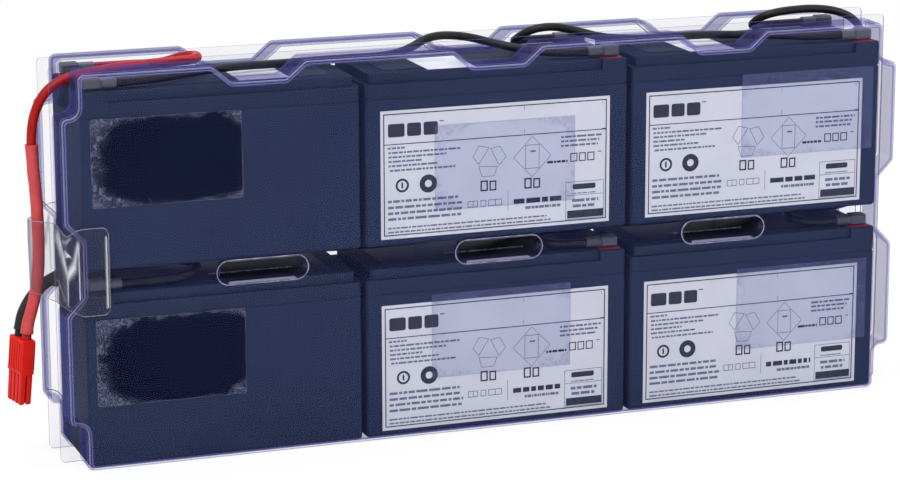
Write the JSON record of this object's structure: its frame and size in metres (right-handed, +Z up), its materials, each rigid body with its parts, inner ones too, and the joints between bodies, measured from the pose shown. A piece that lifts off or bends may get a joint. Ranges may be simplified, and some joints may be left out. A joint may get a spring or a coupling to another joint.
{
  "type": "ups battery cartridge",
  "caption": "Flat battery cartridge: sealed lead-acid batteries in two clear moulded trays, linked in series, with a short lead and a two-pole plug at the side.",
  "frame": {"origin": "centre of the base that the trays stand on, half way between the front and rear panels", "axes": "+X along the rows of batteries to the right seen from the front, +Y from the front panel to the rear panel, +Z up"},
  "size_m": [0.5046, 0.069, 0.2198],
  "materials": {
    "clear_tray": "clear",
    "battery_case": "satin",
    "battery_lid": "satin",
    "vent_cover": "satin",
    "terminal_metal": "tin plate",
    "seat_red": "gloss",
    "seat_black": "satin",
    "receptacle_nylon": "translucent",
    "label_paper": "satin",
    "clear_pad": "clear",
    "sticker_white": "satin",
    "wire_black": "satin",
    "wire_red": "gloss",
    "sleeve_red": "satin",
    "sleeve_black": "satin",
    "plug_plastic": "satin",
    "clear_film": "clear"
  },
  "bodies": {
    "root": {"front_tray": "clear_tray", "rear_tray": "clear_tray", "case_upper_left": "battery_case", "lid_upper_left": "battery_lid", "cover_upper_left": "vent_cover", "tabs_upper_left": "terminal_metal", "case_upper_middle": "battery_case", "lid_upper_middle": "battery_lid", "cover_upper_middle": "vent_cover", "tabs_upper_middle": "terminal_metal", "case_upper_right": "battery_case", "lid_upper_right": "battery_lid", "cover_upper_right": "vent_cover", "tabs_upper_right": "terminal_metal", "case_lower_left": "battery_case", "lid_lower_left": "battery_lid", "cover_lower_left": "vent_cover", "tabs_lower_left": "terminal_metal", "case_lower_middle": "battery_case", "lid_lower_middle": "battery_lid", "cover_lower_middle": "vent_cover", "tabs_lower_middle": "terminal_metal", "case_lower_right": "battery_case", "lid_lower_right": "battery_lid", "cover_lower_right": "vent_cover", "tabs_lower_right": "terminal_metal", "seats_plus": "seat_red", "seats_minus": "seat_black", "receptacles": "receptacle_nylon", "pad_upper_left": "clear_pad", "label_upper_middle": "label_paper", "pad_upper_middle": "clear_pad", "label_upper_right": "label_paper", "pad_upper_right": "clear_pad", "pad_lower_left": "clear_pad", "label_lower_middle": "label_paper", "pad_lower_middle": "clear_pad", "label_lower_right": "label_paper", "pad_lower_right": "clear_pad", "pads_rear": "clear_pad", "stickers_top": "sticker_white", "jumper_upper_left": "wire_black", "jumper_upper_right": "wire_black", "jumper_right_side": "wire_black", "jumper_lower_right": "wire_black", "jumper_lower_left": "wire_black", "red_lead": "wire_red", "red_sleeve": "sleeve_red", "black_lead": "wire_black", "black_sleeve": "sleeve_black", "plug_red": "plug_plastic", "plug_black": "plug_plastic", "plug_contacts": "terminal_metal", "tape": "clear_film"}
  },
  "joints": []
}
